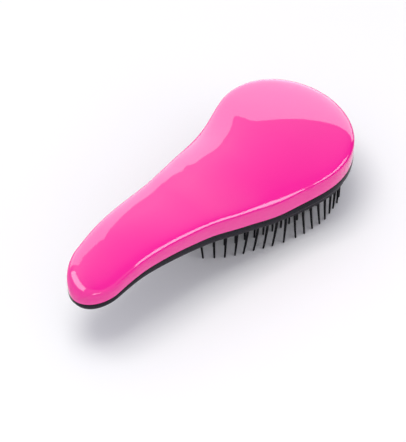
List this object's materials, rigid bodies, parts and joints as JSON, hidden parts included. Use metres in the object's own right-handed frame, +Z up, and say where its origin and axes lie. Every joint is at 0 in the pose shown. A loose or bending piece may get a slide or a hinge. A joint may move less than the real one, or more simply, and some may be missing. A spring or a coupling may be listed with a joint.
{
  "type": "detangling brush",
  "caption": "Handheld detangling brush: gloss domed cover with a waisted handle on a black lower shell, with two-tier straight bristles under the head.",
  "frame": {"origin": "on the table, under the middle of the whole length, with the brush standing on its long bristles' tips", "axes": "+X from the handle's tip towards the head, +Y across the brush, +Z up; y = 0 is the mirror plane"},
  "size_m": [0.185, 0.0786, 0.058],
  "materials": {
    "cover_gloss": "high-gloss injection-moulded pink ABS",
    "shell_black": "satin black moulded plastic",
    "plate_black": "matte black moulded nylon",
    "bristle_black": "satin black flexible moulded bristles"
  },
  "bodies": {
    "root": {"top_cover": "cover_gloss", "base_shell": "shell_black", "bristle_plate": "plate_black", "bristles": "bristle_black"}
  },
  "joints": []
}
